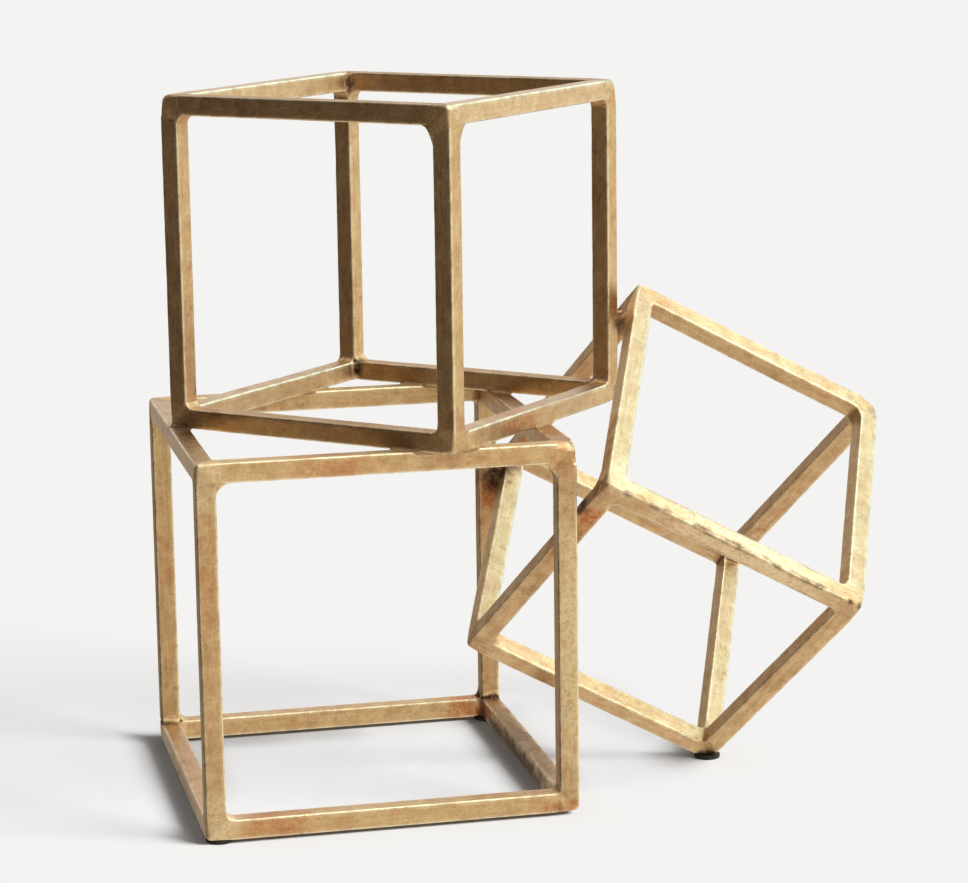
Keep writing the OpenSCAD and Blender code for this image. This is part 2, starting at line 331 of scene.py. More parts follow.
def build_bar(name, number, material):
    cube = CUBES[name.split("_")[0]]
    axis, s0, s1 = BARS[name]
    b, c = [a for a in range(3) if a != axis]
    inset = RAIL_END if axis == 1 else BUTT
    length = cube.edge - 2 * inset
    steps = int(round(length / RING_PITCH))
    along = np.linspace(0, length, steps + 1)
    around = len(RING_POINTS)
    local = np.zeros((steps + 1, around, 3))
    out = np.zeros_like(local)
    middle = [s * (cube.edge - BAR) + HALF for s in (s0, s1)]
    local[..., axis] = (inset + along)[:, None]
    local[..., b] = middle[0] + RING_POINTS[:, 0]
    local[..., c] = middle[1] + RING_POINTS[:, 1]
    out[..., b] = RING_OUT[:, 0]
    out[..., c] = RING_OUT[:, 1]

    from_corner = np.minimum(local[..., axis], cube.edge - local[..., axis])
    world = cube.to_world(local)
    # Hand work: the bar wanders a little, its faces are not quite flat and its edges are worn
    free = smoothstep(HELD, LOOSE, from_corner)
    drift = np.stack([noise(np.stack([along, 0 * along + 31 * number, 0 * along + s], -1), 55, s)
                      for s in (3, 4)], -1) * DRIFT
    local[..., b] += drift[:, None, 0] * free
    local[..., c] += drift[:, None, 1] * free
    ripple = 0.03 * noise(world, 9, 1) + 0.02 * noise(world, 3, 2)
    dents = 0.16 * smoothstep(0.25, 0.8, noise(world, 7, 5)) + 0.07 * noise(world, 2.2, 6)
    ripple = ripple - dents * RING_EDGE * 0.55
    ripple = ripple - END_SUNK * (1 - smoothstep(8.5, 11.5, from_corner))
    local = local + out * ripple[..., None]
    world = cube.to_world(local)
    if name == "small_front_lower_right_rail":
        world[..., 2] = np.maximum(world[..., 2], GROUND_FLAT + 0.3)

    ring = np.arange(around)
    rows = np.arange(steps)[:, None] * around
    a0, a1 = rows + ring, rows + (ring + 1) % around
    quads = np.stack([a0, a1, a1 + around, a0 + around], -1).reshape(-1, 4)
    verts = world.reshape(-1, 3)
    # Each end is closed by rings that shrink to the bar's middle line
    edge = np.broadcast_to(RING_EDGE, (steps + 1, around)).ravel()
    grain = np.zeros((steps + 1, around, 3))
    grain[..., 0] = along[:, None]
    grain[..., 1] = RING_AROUND
    grain[..., 2] = number * 41.0
    grain = grain.reshape(-1, 3)
    extra_v, extra_q = [], []
    count = len(verts)
    for end, first in ((0, 0), (1, steps * around)):
        rim = verts[first:first + around]
        heart = rim.mean(0)
        last = first + ring
        for share in (0.9, 0.45, 0.02):
            extra_v.append(heart + (rim - heart) * share)
            new = count + ring
            count += around
            nxt_last, nxt_new = np.roll(last, -1), np.roll(new, -1)
            q = np.stack([last, new, nxt_new, nxt_last], -1)
            extra_q.append(q[:, ::-1] if end else q)
            last = new
        # the middle is closed by one small ring, drawn as quads across it
        half = around // 2
        i = np.arange(half - 1)
        q = np.stack([last[i], last[around - 1 - i], last[around - 2 - i], last[i + 1]], -1)
        extra_q.append(q[:, ::-1] if end else q)
    verts = np.concatenate([verts] + extra_v)
    pad = len(verts) - len(edge)
    edge = np.concatenate([edge, np.zeros(pad)])
    rim = np.concatenate([np.broadcast_to(RING_RIM, (steps + 1, around)).ravel(), np.zeros(pad)])
    grain = np.concatenate([grain, np.tile(grain[:1], (pad, 1))])
    if np.linalg.det(np.array([np.eye(3)[b], np.eye(3)[c], np.eye(3)[axis]])) < 0:
        extra_q = [q[:, ::-1] for q in extra_q]
        quads = quads[:, ::-1]
    quads = np.concatenate([quads] + extra_q)
    values = paint_values(verts)
    # edges paled in the material: worn, and partly a painted highlight
    values["edge"] = edge
    values["rim"] = rim * (CHIPPED if name == CHIPPED_BAR else WORN)
    return make_piece("bar_" + name, verts, quads, values, grain, material, [name],
                      cube.turn[:, axis])


# ---------------------------------------------------------------- the welded corners

REACH = 25.0         # how far a corner's weld can run along each bar
ARM_REACH = 18.4     # where its sleeve round the bar ends, sunk inside the bar
CORNER_STEP = 0.5
MARGIN = 1.5         # free space left round the corner
FILLET = 4.0
PAIRS = {"xy": (0, 1, 2), "yz": (1, 2, 0), "zx": (2, 0, 1)}
# Corners whose welds stand out: fillet legs as (along the first axis, along the second)
SPECIAL_FILLETS = {
    ("large", 0, 0, 1): {"zx": (7.6, 7.6)},
    ("large", 1, 0, 1): {"zx": (9.0, 9.6)},
    ("large", 0, 0, 0): {"zx": (4.4, 4.8)},
    ("large", 1, 0, 0): {"zx": (2.6, 2.8)},
    ("medium", 0, 0, 1): {"zx": (13.0, 7.0), "yz": (6.2, 12.0)},
    ("medium", 1, 0, 1): {"zx": (3.6, 3.6)},
    ("medium", 0, 1, 1): {"yz": (5.0, 5.0)},
    ("small", 1, 1, 0): {"yz": (9.0, 9.0), "zx": (2.5, 2.5)},
    ("small", 0, 1, 1): {"zx": (5.5, 5.5), "yz": (3.0, 3.0)},
    ("small", 1, 1, 1): {"zx": (1.6, 1.6)},
    ("small", 0, 0, 1): {"zx": (1.0, 1.0), "yz": (1.6, 1.6)},
}
# How much rounder a corner's tip is than the bars' edges, and how far along them that reaches
TIP_ROUNDING, TIP_REACH = 1.7, 5.5
SPECIAL_TIPS = {
    ("large", 1, 0, 1): (4.2, 10.0),
    ("large", 0, 0, 1): (1.4, 6.0),
    ("medium", 0, 1, 1): (2.6, 8.0),
    ("medium", 1, 0, 1): (2.8, 8.0),
    ("small", 0, 1, 1): (4.4, 9.0),
    ("small", 0, 1, 0): (3.0, 8.0),
    ("small", 1, 1, 1): (0.9, 5.0),
}
# Corners where the weld leaves a joint open, and the axis across that joint
OPEN_JOINTS = {("large", 0, 1, 0): 2, ("large", 1, 1, 0): 2, ("medium", 1, 1, 0): 0}


def fillet_distance(p, first, second, across, legs):
    """Distance to the hollow weld in the angle between two arms of a corner."""
    a = (p[..., first] - BAR) / legs[0]
    b = (p[..., second] - BAR) / legs[1]
    u, v = 1 - a, 1 - b
    q = np.maximum(np.hypot(u, v), 1e-6)
    slope = np.hypot(u / legs[0], v / legs[1]) / q
    hollow = (1 - q) / np.maximum(slope, 1e-3)
    block = np.maximum.reduce([
        p[..., first] - BAR - legs[0], p[..., second] - BAR - legs[1],
        BAR - 1 - p[..., first], BAR - 1 - p[..., second],
        0.15 - p[..., across], p[..., across] - BAR + 0.15])
    return np.maximum(hollow, block)


def rounded_vertex(p, rounding, reach):
    """Distance to the space inside a cube's three outer faces, with a rounder tip."""
    radius = EDGE_RADIUS + rounding * np.exp(-(np.linalg.norm(p, axis=-1) / reach) ** 2)
    q = radius[..., None] - p
    return np.linalg.norm(np.maximum(q, 0), axis=-1) - radius + np.minimum(q.max(-1), 0)


def corner_field(cube_name, corner, p, world):
    """Field of one welded corner; p puts the corner at zero and its bars along positive axes."""
    key = (cube_name,) + corner
    seed = sum(k * m for k, m in zip((len(cube_name),) + corner, (3, 5, 7, 11)))
    rng = np.random.default_rng(seed)
    arms = []
    for axis in range(3):
        b, c = (axis + 1) % 3, (axis + 2) % 3
        side = section_distance(p[..., b], p[..., c])
        arms.append(np.maximum(side, p[..., axis] - ARM_REACH))
    sleeve = np.minimum.reduce(arms)
    # The weld stands proud round the corner and ends in a ragged border
    out = p.max(-1)
    border = 12.5 + 2.6 * noise(world, 5.5, 23) + 1.2 * noise(world, 2.0, 24) + rng.uniform(-1, 1)
    proud = 0.17 + 0.10 * noise(world, 4, 25) + 0.07 * noise(world, 1.6, 26)
    sleeve = sleeve - proud * (1 - smoothstep(-1.2, 0.9, out - border))
    field = sleeve + 0.5 * smoothstep(-0.3, 2.2, out - border)
    special = SPECIAL_FILLETS.get(key, {})
    for pair, (first, second, across) in PAIRS.items():
        legs = special.get(pair, tuple(FILLET * rng.uniform(0.72, 1.2, 2)))
        lumpy = noise(world, 2.6, 21) * 0.15 + noise(world, 6, 22) * 0.2
        fillet = fillet_distance(p, first, second, across, legs) - lumpy
        field = np.minimum(field, fillet)
    field = np.maximum(field, rounded_vertex(p, *SPECIAL_TIPS.get(key, (TIP_ROUNDING, TIP_REACH))))
    if key in OPEN_JOINTS:
        across = OPEN_JOINTS[key]
        crack = np.abs(p[..., across] - BAR - 0.2 * noise(world, 3, 27)) - 0.42
        for axis in range(3):
            if axis != across:
                crack = np.maximum(crack, p[..., axis] - BAR - 0.6)
        field = np.maximum(field, -np.maximum(crack, -field - 1.1))
    if key == ("small", 0, 0, 0):
        field = np.maximum(field, GROUND_FLAT - world[..., 2])
    return field


def build_corners(cube_name, material):
    cube = CUBES[cube_name]
    every_v, every_q, grains, lays, edges, dirts = [], [], [], [], [], []
    count = 0
    base, start = grid_points([-MARGIN] * 3, [REACH + 0.6] * 3, CORNER_STEP)
    for corner in np.ndindex(2, 2, 2):
        flip = np.array([1 - 2 * s for s in corner])
        offset = np.array(corner) * cube.edge
        world = cube.to_world(base * flip + offset)
        field = corner_field(cube_name, corner, base, world)
        soft = blurred(field, 1)
        verts, quads = surface_nets(soft, start, CORNER_STEP)
        wide = blurred(soft, 5)
        bend = sampled(wide, verts, start, CORNER_STEP) - sampled(soft, verts, start, CORNER_STEP)
        if flip.prod() < 0:
            quads = quads[:, ::-1]
        local = verts * flip + offset
        every_v.append(cube.to_world(local))
        every_q.append(quads + count)
        count += len(verts)
        edges.append(smoothstep(0.06, 0.30, bend))
        dirts.append(smoothstep(0.05, 0.28, -bend))
        grains.append(local)
        lays.append(cube.turn.T[verts.argmax(1)])
    verts = np.concatenate(every_v)
    values = paint_values(verts)
    # edges paled in the material: worn, and partly a painted highlight
    values["edge"] = np.concatenate(edges) * 0.7
    values["dirt_and_shade"] = np.maximum(values["dirt_and_shade"], np.concatenate(dirts) * 0.75)
    return make_piece("welds_" + cube_name + "_corners", verts, np.concatenate(every_q), values,
                      np.concatenate(grains), material, [cube_name + "_corner_fillets"],
                      np.concatenate(lays))


# ---------------------------------------------------------------- welds between the cubes

def joint_weld(lo, hi, field_of, step):
    """Vertices, quads and bend of a weld from a field over the world box lo to hi."""
    world, start = grid_points(np.array(lo), np.array(hi), step)
    field = blurred(field_of(world), 1)
    for axis in range(3):
        for s in (0, -1):
            cut = [slice(None)] * 3
            cut[axis] = s
            field[tuple(cut)] = np.abs(field[tuple(cut)]) + step
    verts, quads = surface_nets(field, start, step)
    wide = blurred(field, 4)
    bend = sampled(wide, verts, start, step) - sampled(field, verts, start, step)
    return verts, quads, bend


SEAT_REACH = np.array([16, 16, 6])
TACK_REACH = 17


def seat_field(world):
    top = np.minimum.reduce([bar_distance("large_top_" + n + "_rail", world)
                             for n in ("left", "right", "front", "back")])
    ring = np.minimum.reduce([bar_distance("medium_bottom_" + n + "_rail", world)
                              for n in ("front_left", "back_right", "front_right", "back_left")])
    lumps = 0.25 * noise(world, 4, 31) + 0.15 * noise(world, 1.8, 32)
    return joined(top, ring, 2.4 + lumps) + 0.24


def seat_spots():
    """Where the medium cube's bottom bars cross the large cube's top bars, in world millimetres."""
    spots = []
    for mine in ("front_left", "back_right", "front_right", "back_left"):
        axis, s0, _ = BARS["medium_bottom_" + mine + "_rail"]
        others = [a for a in range(3) if a != axis]
        line = np.zeros((400, 3))
        line[:, axis] = np.linspace(HALF, MEDIUM.edge - HALF, 400)
        line[:, others[0]] = s0 * (MEDIUM.edge - BAR) + HALF
        line[:, others[1]] = 0.0
        world = MEDIUM.to_world(line)
        for name in ("left", "right", "front", "back"):
            d = bar_distance("large_top_" + name + "_rail", world)
            if d.min() < 2.0:
                spots.append(world[d < d.min() + 0.3].mean(0))
    merged = []
    for s in spots:
        if all(np.linalg.norm(s - m) > 14 for m in merged):
            merged.append(s)
    return merged


def tack_field(post, rail, centre, size, throat):
    def field_of(world):
        lumps = 1.0 * noise(world, 4, 41) + 0.6 * noise(world, 1.7, 42)
        both = joined(bar_distance(post, world), bar_distance(rail, world), throat + lumps) + 0.3
        ball = np.linalg.norm((world - centre) / size, axis=-1) * min(size) - min(size)
        ball = ball - 0.8 * noise(world, 3, 43)
        return np.maximum(both, ball)
    return field_of


def nearest_point(post, rail):
    """The point midway between two bars' centre lines where they pass closest."""
    lines = []
    for name in (post, rail):
        cube = CUBES[name.split("_")[0]]
        axis, s0, s1 = BARS[name]
        others = [a for a in range(3) if a != axis]
        start = np.zeros(3)
        start[others[0]] = s0 * (cube.edge - BAR) + HALF
        start[others[1]] = s1 * (cube.edge - BAR) + HALF
        lines.append((cube.to_world(start), cube.turn[:, axis]))
    (p, d), (q, e) = lines
    w, b = p - q, d @ e
    slack = 1 - b * b
    s = (b * (e @ w) - d @ w) / slack
    t = (e @ w - b * (d @ w)) / slack
    return (p + d * s + q + e * t) / 2


# ---------------------------------------------------------------- colour by place: stains, wear, and some painted shade and painted highlights

FRONT_TACK = nearest_point("large_front_right_post", "small_front_upper_left_rail")
BACK_TACK = nearest_point("large_back_right_post", "small_left_strut")
CROWN_TACK = nearest_point("medium_right_post", "small_rear_upper_left_rail")

# (attribute, centre, radius or radii along X, Y and Z, strength)
STAINS = [
    ("copper", LARGE.place(165.0, 0, 1), (9, 9, 6), 0.8),
    ("copper", LARGE.place(175.0, 0, 2), (6, 6, 5), 0.8),
    ("copper", LARGE.place(174.0, 4, 168), 18, 0.35),
    ("copper", SMALL.place(137.0, 96, 4), 18, 1.0),
    ("copper", LARGE.place(172.0, 174, 120), 20, 0.9),
    ("copper", LARGE.place(160.0, 174, 4), 16, 0.9),
    ("copper", LARGE.place(60.0, 0, 174), 22, 0.5),
    ("copper", LARGE.place(30.0, 0, 4), 24, 0.6),
    ("copper", LARGE.place(2.0, 0, 120), (14, 14, 32), 0.35),
    ("copper", LARGE.place(2.0, 176, 100), (14, 14, 40), 0.3),
    ("copper", MEDIUM.place(60.0, 0, 4), 26, 0.6),
    ("copper", FRONT_TACK + [6, -6, 0], (11, 12, 10), 1.0),
    ("dirt_and_shade", LARGE.place(2.0, 172, 9.6), (12, 12, 1.7), 1.0),
    ("dirt_and_shade", LARGE.place(172.5, 167, 10.4), (10, 5, 1.9), 1.0),
    # painted shade: the inner face and top of the large cube's bottom right rail, and the outer
    # face of its bottom left rail, are darkened
    ("dirt_and_shade", LARGE.place(167.5, 90, 2), (3, 110, 9), 0.9),
    ("dirt_and_shade", LARGE.place(172.0, 90, 10), (8, 110, 3), 0.5),
    ("dirt_and_shade", LARGE.place(-1.0, 95, 2), (3, 110, 8), 0.35),
    ("dirt_and_shade", LARGE.place(167.5, 172, 9), (2.5, 7, 5), 0.9),
    ("dirt_and_shade", MEDIUM.place(4.0, 150, -0.5), (12, 12, 5), 1.0),
    ("dirt_and_shade", MEDIUM.place(148.5, 149.5, 154), (3.5, 3.5, 7), 1.0),
    ("dirt_and_shade", MEDIUM.place(9.5, 149.5, 17), 2.6, 1.0),
    ("dirt_and_shade", MEDIUM.place(150.0, 149, 6), 5, 1.0),
    ("dirt_and_shade", FRONT_TACK + [4, 0, 6], (12, 9, 6), 0.8),
    ("dirt_and_shade", BACK_TACK, (14, 14, 17), 0.95),
    ("dirt_and_shade", CROWN_TACK, 8, 0.8),
    ("dirt_and_shade", SMALL.place(0.0, 141, 0), 4.5, 1.0),
    ("dirt_and_shade", SMALL.place(7.0, 141, 0), 2.8, 1.0),
    # painted highlight: a near-white glint on the small cube's upper front bar, at its corner by
    # the crown strut
    ("pale", SMALL.place(132.0, 141, 9), 15, 1.0),
    ("pale", LARGE.place(4.0, 0, 168), 18, 0.6),
    ("pale", LARGE.place(4.0, 0, 8), 20, 0.8),
    ("pale", LARGE.place(176.0, 2, 85), (14, 14, 80), 1.0),
    ("pale", SMALL.place(66.0, 141, 4), 66, 0.9),
]
# the chipped ridge of the small cube's upper front bar
STAINS += [("dirt_and_shade", SMALL.place(x, 141.0, 0.6 + 0.9 * math.sin(0.37 * x)),
            1.9 + 0.7 * math.sin(0.83 * x), 0.5 + 0.2 * math.sin(0.29 * x))
           for x in range(12, 132, 2)]
# painted shade on the side of its upper left bar, from the front weld to the corner, and a little
# above it
STAINS += [("dirt_and_shade", SMALL.place(145.0, y, 4.5), 8.5, 0.62) for y in (98, 106, 114, 122, 130, 137)]
STAINS += [("dirt_and_shade", SMALL.place(145.0, 137, z), 7.5, 0.40) for z in (13, 22, 32, 43)]


def paint_values(verts):
    """How stained, darkened by painted shade or paled by a painted highlight each vertex is, by its
    place, with ragged borders.
    """
    values = {key: np.zeros(len(verts)) for key in ATTRIBUTES}
    wander = 1 + 0.35 * noise(verts, 6, 51) + 0.25 * noise(verts, 2.4, 52)
    for key, centre, radius, strength in STAINS:
        d = np.linalg.norm((verts - centre) / radius, axis=1) * wander
        values[key] = np.maximum(values[key], strength * (1 - smoothstep(0.35, 1.0, d)))
    return values


# ---------------------------------------------------------------- materials

class Nodes:
    """A short way to build a material's nodes."""

    def __init__(self, name):
        self.material = bpy.data.materials.new(name)
        self.material.use_nodes = True
        self.tree = self.material.node_tree
        self.bsdf = self.tree.nodes["Principled BSDF"]

    def new(self, kind, **inputs):
        node = self.tree.nodes.new(kind)
        for key, value in inputs.items():
            self.put(node, key, value)
        return node

    def put(self, node, key, value):
        socket = node.inputs[int(key[1:])] if key[0] == "_" else node.inputs[key]
        if isinstance(value, bpy.types.NodeSocket):
            self.tree.links.new(value, socket)
        else:
            socket.default_value = value

    def position(self):
        """The place on the object, in millimetres."""
        coords = self.new("ShaderNodeTexCoord")
        scaled = self.new("ShaderNodeVectorMath", _0=coords.outputs["Object"])
        scaled.operation = "SCALE"
        scaled.inputs["Scale"].default_value = 1 / MM
        return scaled.outputs[0]

    def attribute(self, name, output="Fac"):
        node = self.new("ShaderNodeAttribute")
        node.attribute_name = name
        return node.outputs[output]

    def stretched(self, vector, x, y, z):
        node = self.new("ShaderNodeVectorMath", _0=vector, _1=(x, y, z))
        node.operation = "MULTIPLY"
        return node.outputs[0]

    def cloud(self, vector, size, detail=3.0, roughness=0.55, distortion=0.0):
        node = self.new("ShaderNodeTexNoise", Vector=vector, Scale=1 / size, Detail=detail,
                        Roughness=roughness, Distortion=distortion)
        return node.outputs["Fac"]

    def ramp(self, value, lo, hi, to_lo=0.0, to_hi=1.0):
        node = self.new("ShaderNodeMapRange", Value=value)
        node.interpolation_type = "SMOOTHSTEP"
        limits = {"From Min": lo, "From Max": hi, "To Min": to_lo, "To Max": to_hi}
        for key, number in limits.items():
            node.inputs[key].default_value = number
        return node.outputs[0]

    def maths(self, operation, a, b):
        node = self.new("ShaderNodeMath", _0=a, _1=b)
        node.operation = operation
        node.use_clamp = operation in ("ADD", "SUBTRACT")
        return node.outputs[0]

    def sum(self, a, b):
        return self.new("ShaderNodeMath", _0=a, _1=b).outputs[0]

    def mix(self, share, a, b):
        node = self.tree.nodes.new("ShaderNodeMix")
        node.data_type = "RGBA"
        for name, value in (("Factor_Float", share), ("A_Color", a), ("B_Color", b)):
            socket = next(s for s in node.inputs if s.identifier == name)
            if isinstance(value, bpy.types.NodeSocket):
                self.tree.links.new(value, socket)
            else:
                socket.default_value = value
        return next(s for s in node.outputs if s.identifier == "Result_Color")


def rgb(r, g, b):
    """A colour given as sRGB from 0 to 255."""
    return tuple((c / 255 / 12.92 if c / 255 <= 0.04045 else ((c / 255 + 0.055) / 1.055) ** 2.4)
                 for c in (r, g, b)) + (1.0,)


def gold_leaf(name, roughness, grain_strength):
    n = Nodes(name)
    place = n.position()
    grain = n.attribute("grain", "Vector")
    wide = n.cloud(place, 30, 3, 0.55)
    middle = n.cloud(place, 8, 4, 0.6, 0.4)
    small = n.cloud(place, 1.9, 4, 0.6)
    streaks = n.cloud(n.stretched(grain, 0.10, 1.0, 1.0), 1.5, 4, 0.65)
    bands = n.cloud(n.stretched(grain, 1.0, 0.2, 1.0), 3.2, 3, 0.6)
    specks = n.cloud(place, 0.55, 2, 0.5)

    colour = n.mix(n.ramp(middle, 0.34, 0.66), rgb(208, 167, 121), rgb(225, 188, 140))
    colour = n.mix(n.ramp(wide, 0.48, 0.70, 0, 0.45), colour, rgb(214, 184, 132))
    colour = n.mix(n.ramp(bands, 0.54, 0.74, 0, 0.12), colour, rgb(188, 142, 104))
    colour = n.mix(n.ramp(streaks, 0.46, 0.70, 0, 0.36), colour, rgb(172, 128, 88))
    mottle = n.cloud(place, 1.2, 2, 0.7)
    spread = n.ramp(n.cloud(place, 16, 3, 0.6), 0.40, 0.62, 0.25, 1.0)
    colour = n.mix(n.maths("MULTIPLY", n.ramp(mottle, 0.50, 0.68, 0, 0.34), spread), colour,
                   rgb(160, 118, 80))
    colour = n.mix(n.maths("MULTIPLY", n.ramp(mottle, 0.48, 0.34, 0, 0.28), spread), colour,
                   rgb(236, 206, 158))
    patina = n.maths("MULTIPLY", n.ramp(n.cloud(place, 5.5, 5, 0.65), 0.50, 0.66, 0, 0.5),
                     n.ramp(n.cloud(place, 24, 2, 0.5), 0.50, 0.66))
    colour = n.mix(patina, colour, rgb(158, 118, 78))
    reds = n.maths("ADD", n.ramp(n.cloud(place, 13, 4, 0.65), 0.54, 0.76, 0, 0.45),
                   n.attribute("copper"))
    reds = n.maths("MULTIPLY", reds, n.ramp(small, 0.34, 0.58, 0.3, 1.0))
    colour = n.mix(reds, colour, rgb(194, 114, 66))
    bright = n.maths("MULTIPLY", n.ramp(n.cloud(place, 0.9, 3, 0.6), 0.56, 0.68),
                     n.ramp(middle, 0.40, 0.62))
    pale = n.maths("MULTIPLY", n.attribute("pale"), n.ramp(small, 0.36, 0.56, 0.2, 1.0))
    bright = n.maths("ADD", n.maths("MULTIPLY", bright, 0.5), n.maths("MULTIPLY", pale, 0.8))
    colour = n.mix(bright, colour, rgb(241, 216, 172))
    beside = n.maths("MULTIPLY", n.ramp(n.attribute("rim"), 0.35, 0.95),
                     n.ramp(n.cloud(place, 17, 3, 0.6), 0.44, 0.60, 0.1, 0.6))
    colour = n.mix(beside, colour, rgb(150, 106, 72))
    # worn edges paled, and partly a painted highlight along the edges of bars and welds
    worn_edge_and_highlight = n.maths("MULTIPLY", n.attribute("edge"), n.ramp(middle, 0.36, 0.56, 0.4, 0.95))
    colour = n.mix(worn_edge_and_highlight, colour, rgb(250, 232, 194))
    # chipped through to the clay: small brown flecks, mostly in patches along the edges
    chipped = n.maths("MULTIPLY", n.attribute("rim"),
                      n.ramp(n.cloud(place, 12, 3, 0.6), 0.46, 0.66))
    patchy = n.maths("ADD", n.ramp(n.cloud(place, 9, 3, 0.6), 0.54, 0.74, 0.04, 0.55),
                     n.maths("MULTIPLY", chipped, 0.9))
    flecks = n.maths("MULTIPLY", n.ramp(specks, 0.50, 0.62), patchy)
    colour = n.mix(n.maths("MULTIPLY", flecks, 0.75), colour, rgb(116, 78, 50))
    # dark dirt in seams and hollows, and painted shade on some faces
    grime_and_shade = n.maths("MULTIPLY", n.attribute("dirt_and_shade"), n.ramp(small, 0.30, 0.50, 0.55, 1.0))
    colour = n.mix(grime_and_shade, colour, rgb(66, 38, 24))
    n.put(n.bsdf, "Base Color", colour)
    n.put(n.bsdf, "Metallic", n.ramp(n.maths("ADD", grime_and_shade, n.maths("MULTIPLY", flecks, 0.5)),
                                     0.0, 0.9, 0.94, 0.25))
    rough = n.ramp(streaks, 0.3, 0.7, roughness - 0.05, roughness + 0.08)
    rough = n.maths("ADD", rough, n.maths("MULTIPLY", grime_and_shade, 0.25))
    rough = n.maths("SUBTRACT", rough, n.maths("MULTIPLY", n.attribute("edge"), 0.08))
    n.put(n.bsdf, "Roughness", rough)
    height = n.maths("ADD", n.maths("MULTIPLY", small, 0.6), n.maths("MULTIPLY", specks, 0.4))
    height = n.sum(height, n.maths("MULTIPLY", streaks, 0.3))
    height = n.sum(height, n.sum(middle, middle))
    bump = n.new("ShaderNodeBump", Height=height, Strength=grain_strength, Distance=0.35 * MM)
    n.put(n.bsdf, "Normal", bump.outputs[0])
    n.bsdf.inputs["Specular IOR Level"].default_value = 0.05
    # brushed along the bars, so that gloss spreads across them
    n.bsdf.inputs["Anisotropic"].default_value = 0.8
    n.bsdf.inputs["Anisotropic Rotation"].default_value = 0.25
    n.put(n.bsdf, "Tangent", n.attribute("lay", "Vector"))
    return n.material


def pad_rubber():
    n = Nodes("pad_rubber")
    place = n.position()
    fine = n.cloud(place, 0.5, 3, 0.6)
    colour = n.mix(n.ramp(fine, 0.35, 0.7), rgb(24, 21, 18), rgb(46, 41, 35))
    colour = n.mix(n.ramp(n.cloud(place, 2.5, 3, 0.6), 0.58, 0.75, 0, 0.5), colour, rgb(96, 88, 78))
    n.put(n.bsdf, "Base Color", colour)
    n.put(n.bsdf, "Roughness", n.ramp(fine, 0.3, 0.7, 0.75, 0.92))
    bump = n.new("ShaderNodeBump", Height=fine, Strength=0.6, Distance=0.2 * MM)
    n.put(n.bsdf, "Normal", bump.outputs[0])
    return n.material


# ---------------------------------------------------------------- pads

# a pad's outline from its underside up, as shares of its radius and of its height
PAD_PROFILE = [(0.25, 0.0), (0.7, 0.0), (0.95, 0.0), (0.985, 0.08), (1.0, 0.22), (0.995, 0.5),
               (1.0, 0.8), (0.97, 0.94), (0.9, 1.0), (0.6, 1.0), (0.25, 1.0)]
PAD_SIDES = 48


def build_pad(name, material):
    lo, hi = (np.array(c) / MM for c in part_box(name))
    centre, radius, height = (lo + hi) / 2, (hi[0] - lo[0]) / 2, hi[2] - lo[2]
    base = lo[2]
    turn = np.arange(PAD_SIDES) / PAD_SIDES * 2 * math.pi
    rings = []
    for share, up in PAD_PROFILE:
        ring = np.stack([np.cos(turn) * radius * share, np.sin(turn) * radius * share,
                         np.full(PAD_SIDES, up * height)], -1)
        rings.append(ring + [centre[0], centre[1], base])
    verts = np.concatenate(rings)
    lift = noise(verts, 1.6, 61) * 0.06
    swell = (verts - [centre[0], centre[1], 0]) * [1, 1, 0]
    mid = (verts[:, 2] > base + 0.1) & (verts[:, 2] < base + height - 0.05)
    verts = verts + swell / radius * (np.where(mid, lift, 0) - 0.05)[:, None]
    i = np.arange(PAD_SIDES)
    quads = []
    for r in range(len(PAD_PROFILE) - 1):
        a, b = r * PAD_SIDES + i, (r + 1) * PAD_SIDES + i
        quads.append(np.stack([a, np.roll(a, -1), np.roll(b, -1), b], -1))
    half = np.arange(PAD_SIDES // 2 - 1)
    for first, flip in ((0, True), ((len(PAD_PROFILE) - 1) * PAD_SIDES, False)):
        q = first + np.stack([half, half + 1, PAD_SIDES - 2 - half, PAD_SIDES - 1 - half], -1)
        quads.append(q[:, ::-1] if flip else q)
    return make_piece("disc_" + name, verts, np.concatenate(quads), {}, verts, material,
                      [name])


# ---------------------------------------------------------------- the object

bar_gold = gold_leaf("bar_gold_leaf", 0.34, 0.6)
weld_gold = gold_leaf("weld_gold_leaf", 0.43, 0.8)
black_pad = pad_rubber()

for number, bar_name in enumerate(BARS):
    build_bar(bar_name, number, bar_gold)
for cube_name in CUBES:
    build_corners(cube_name, weld_gold)

seat_v, seat_q, seat_edge, seat_dirt, seat_count = [], [], [], [], 0
for spot in seat_spots():
    v, q, bend = joint_weld(spot - SEAT_REACH, spot + SEAT_REACH, seat_field, 0.45)
    seat_v.append(v)
    seat_q.append(q + seat_count)
    seat_count += len(v)
    seat_edge.append(smoothstep(0.06, 0.3, bend) * 0.2)
    seat_dirt.append(0.35 + smoothstep(0.05, 0.28, -bend) * 0.5)
seat_v = np.concatenate(seat_v)
seat_values = paint_values(seat_v)
# edges paled in the material: worn, and partly a painted highlight
seat_values["edge"] = np.concatenate(seat_edge)
seat_values["dirt_and_shade"] = np.maximum(seat_values["dirt_and_shade"], np.concatenate(seat_dirt))
make_piece("welds_medium_seat", seat_v, np.concatenate(seat_q), seat_values, seat_v, weld_gold,
           ["medium_seat_beads"])

